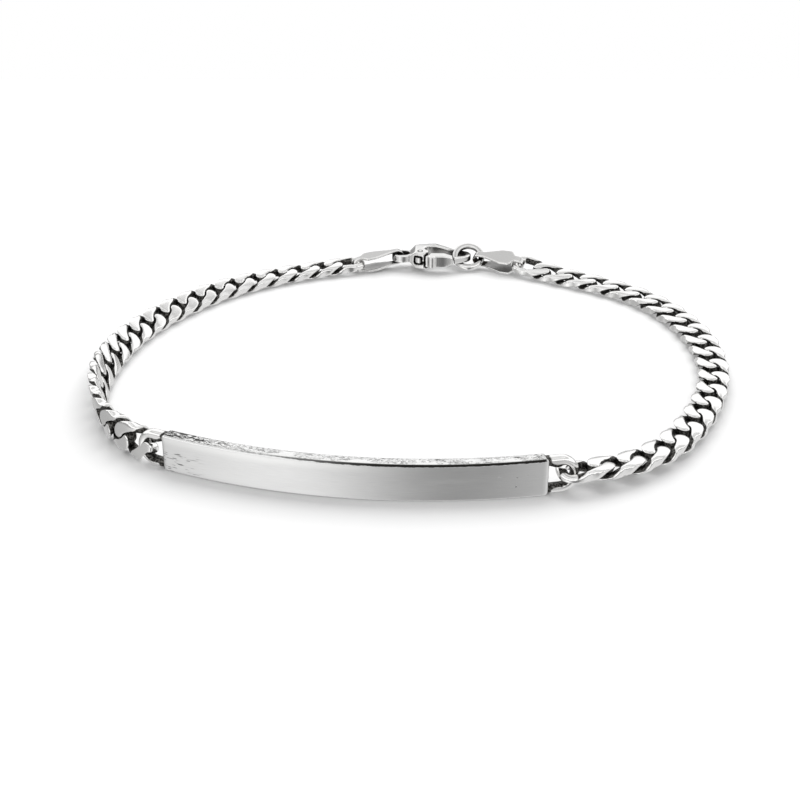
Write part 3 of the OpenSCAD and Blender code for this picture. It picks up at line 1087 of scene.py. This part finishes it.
fitting = {
    "voxel": 0.07,
    # rays that find how hidden and how shaded a point is, their lift off the surface, and how
    # strongly that shade is painted into the colour
    "rays": 18,
    "reach": 0.9,
    "farReach": 2.4,
    "lift": 0.15,
    "paintedShade": 0.95,
    "weld": 0.0005,
    "wearGain": 7,
    "smoothRounds": 3,
    "wearShown": 1.6,
    "claspHalf": 2.3,
    "claspSwell": 0.26,
    "claspDome": 0.12,
    "claspTilt": -6.0,
    "claspTurn": 4.0,
    "ringTurn": -3.0,
    "nodes": ("tag_left", "tag_right", "jump_ring", "clasp_body", "clasp_lever", "clasp_pin"),
}


def castSilver(name, flatTone, flatRough, level, gloss=0.07, warm=0.0):
    # polished where the edges are worn, satin on the flats, dark oxide in the recesses, and painted
    # shade where the other fittings hide the room
    mat = polishedSilver(name, gloss=gloss, level=level, ragged=0.35, warm=warm)
    tree = mat.node_tree
    bsdf = tree.nodes["Principled BSDF"]
    worn = addNode(tree, "ShaderNodeAttribute", attribute_name="worn")
    oldColor = bsdf.inputs["Base Color"].links[0].from_socket
    oldRough = bsdf.inputs["Roughness"].links[0].from_socket
    tint = addNode(tree, "ShaderNodeMix", data_type="RGBA", blend_type="MULTIPLY")
    tint.inputs[0].default_value = 1.0
    shade = mixColor(tree, worn.outputs["Fac"], (flatTone, flatTone, flatTone), (1.0, 1.0, 1.0))
    # painted shade: darker where the other fittings stop the rays
    hidden = addNode(tree, "ShaderNodeAttribute", attribute_name="shade")
    shade = mixColor(tree, mathNode(tree, "MULTIPLY", hidden.outputs["Fac"], fitting["paintedShade"]),
                     shade, silverTone["paintedShade"])
    join(tree, oldColor, tint.inputs[6])
    join(tree, shade, tint.inputs[7])
    join(tree, tint.outputs[2], bsdf.inputs["Base Color"])
    flat = mathNode(tree, "SUBTRACT", 1.0, worn.outputs["Fac"])
    satin = mathNode(tree, "MULTIPLY", flat, flatRough)
    join(tree, mathNode(tree, "ADD", oldRough, satin), bsdf.inputs["Roughness"])
    return mat


def nodeMesh(node):
    # the CAD node in millimetres: points and faces
    data = frame["nodes"][node].data
    points = np.empty(len(data.vertices) * 3)
    data.vertices.foreach_get("co", points)
    return points.reshape(-1, 3) / mm, [tuple(f.vertices) for f in data.polygons]


def shadowTree():
    # every fitting together, to find how deep a point lies
    points, faces = [], []
    for node in fitting["nodes"]:
        own, ownFaces = nodeMesh(node)
        faces += [tuple(v + len(points) for v in f) for f in ownFaces]
        points += [tuple(p) for p in own]
    return BVHTree.FromPolygons(points, faces)


def halfSphereRays():
    # even directions over a half sphere, weighted toward its pole
    golden = math.pi * (3 - math.sqrt(5))
    rays = []
    for n in range(fitting["rays"]):
        height = math.sqrt((n + 0.5) / fitting["rays"])
        wide = math.sqrt(1 - height * height)
        rays.append(Vector((wide * math.cos(n * golden), wide * math.sin(n * golden), height)))
    return rays


fittingShadow = shadowTree()
rayFan = halfSphereRays()


def wearAndShadeOf(data):
    # how hidden, how shaded and how worn each point is, from 0 to 1; the shade is painted into the
    # colour
    count = len(data.vertices)
    points, normals = np.empty(count * 3), np.empty(count * 3)
    data.vertices.foreach_get("co", points)
    data.vertices.foreach_get("normal", normals)
    points, normals = points.reshape(-1, 3), normals.reshape(-1, 3)
    ends = np.empty(len(data.edges) * 2, dtype=int)
    data.edges.foreach_get("vertices", ends)
    a, b = ends.reshape(-1, 2).T
    run = unit(points[b] - points[a])
    bend, share = np.zeros(count), np.zeros(count)
    np.add.at(bend, a, -(normals[a] * run).sum(1))
    np.add.at(bend, b, (normals[b] * run).sum(1))
    np.add.at(share, a, 1)
    np.add.at(share, b, 1)
    hidden, shade = np.empty(count), np.empty(count)
    for n in range(count):
        turn = Vector(normals[n]).to_track_quat("Z", "X")
        start = Vector(points[n] + fitting["lift"] * normals[n])
        hits = [fittingShadow.ray_cast(start, turn @ ray, fitting["farReach"])[3]
                for ray in rayFan]
        hits = [hit for hit in hits if hit is not None]
        hidden[n] = sum(hit < fitting["reach"] for hit in hits) / len(rayFan)
        shade[n] = len(hits) / len(rayFan)
    worn = np.clip(bend / np.maximum(share, 1) * fitting["wearGain"], 0, 1)
    for _ in range(fitting["smoothRounds"]):
        for values in (hidden, shade, worn):
            total = values.copy()
            np.add.at(total, a, values[b])
            np.add.at(total, b, values[a])
            values[:] = total / (share + 1)
    return {"recessAndShade": hidden, "shade": shade, "worn": np.clip(worn * fitting["wearShown"], 0, 1)}


def domed(points):
    # swells the clasp's flat plate into a shallow dome and tips its top toward the front
    body = nodeMesh("clasp_body")[0]
    middle = (body.min(0) + body.max(0)) / 2
    tilt = math.radians(fitting["claspTilt"])
    y, z = points[:, 1] - middle[1], points[:, 2] - middle[2]
    across = y * math.cos(tilt) + z * math.sin(tilt)
    high = -y * math.sin(tilt) + z * math.cos(tilt)
    rim = np.clip(np.abs(across) / fitting["claspHalf"], 0, 1) ** 2
    high = high * (1 + fitting["claspSwell"] - fitting["claspDome"] * rim)
    tilt += math.radians(fitting["claspTurn"])
    points[:, 1] = middle[1] + across * math.cos(tilt) - high * math.sin(tilt)
    points[:, 2] = middle[2] + across * math.sin(tilt) + high * math.cos(tilt)
    return points


def turned(points):
    # lays the jump ring a little flatter
    middle = (points.min(0) + points.max(0)) / 2
    a = math.radians(fitting["ringTurn"])
    spin = np.array([[1, 0, 0], [0, math.cos(a), -math.sin(a)], [0, math.sin(a), math.cos(a)]])
    return (points - middle) @ spin.T + middle


def castCopy(node, name, body, mat, shape=None, swell=0.0, smoothing=5):
    # a softened copy of a CAD node, as it comes from the casting mould
    data = frame["nodes"][node].data.copy()
    data.name = name
    data.materials.clear()
    data.transform(Matrix.Scale(1 / mm, 4))
    bm = bmesh.new()
    bm.from_mesh(data)
    bmesh.ops.remove_doubles(bm, verts=bm.verts, dist=fitting["weld"])
    bm.to_mesh(data)
    bm.free()
    for label in ("custom_normal", "sharp_edge", "sharp_face"):
        if label in data.attributes:
            data.attributes.remove(data.attributes[label])
    source = bpy.data.objects.new(name, data)
    bpy.context.collection.objects.link(source)
    cells = source.modifiers.new("cells", "REMESH")
    cells.mode = "VOXEL"
    cells.voxel_size = fitting["voxel"]
    grow = source.modifiers.new("grow", "DISPLACE")
    grow.mid_level = 0
    grow.strength = swell
    soften = source.modifiers.new("soften", "SMOOTH")
    soften.factor = 0.5
    soften.iterations = smoothing
    piece = bake(source, name)
    for label, values in wearAndShadeOf(piece.data).items():
        layer = piece.data.attributes.new(label, "FLOAT", "POINT")
        layer.data.foreach_set("value", values.astype(np.float32))
    if shape:
        points = np.empty(len(piece.data.vertices) * 3)
        piece.data.vertices.foreach_get("co", points)
        piece.data.vertices.foreach_set("co", shape(points.reshape(-1, 3)).ravel())
    piece.data.transform(Matrix.Scale(mm, 4))
    piece.data.materials.append(mat)
    piece.data.update()
    piece.data.shade_smooth()
    settle(piece, body, [node])


tagSilver = castSilver("tagSilver", flatTone=0.5, flatRough=0.12, level=0.24)
warmTagSilver = castSilver("warmTagSilver", flatTone=0.7, flatRough=0.12, level=0.24, warm=0.5)
claspSilver = castSilver("claspSilver", flatTone=0.78, flatRough=0.03, level=0.13)
ringSilver = castSilver("ringSilver", flatTone=0.95, flatRough=0.0, level=0.5)
castCopy("tag_left", "leftTag", "bracelet", tagSilver)
castCopy("tag_right", "rightTag", "bracelet", warmTagSilver)
castCopy("jump_ring", "jumpRing", "bracelet", ringSilver, shape=turned, swell=0.02, smoothing=6)
castCopy("clasp_body", "claspBody", "bracelet", claspSilver, shape=domed, swell=0.01, smoothing=16)
castCopy("clasp_lever", "claspLever", "lever", claspSilver, shape=domed, smoothing=12)
castCopy("clasp_pin", "claspPin", "bracelet", claspSilver, shape=domed)
print("tags, jump ring and clasp are built")
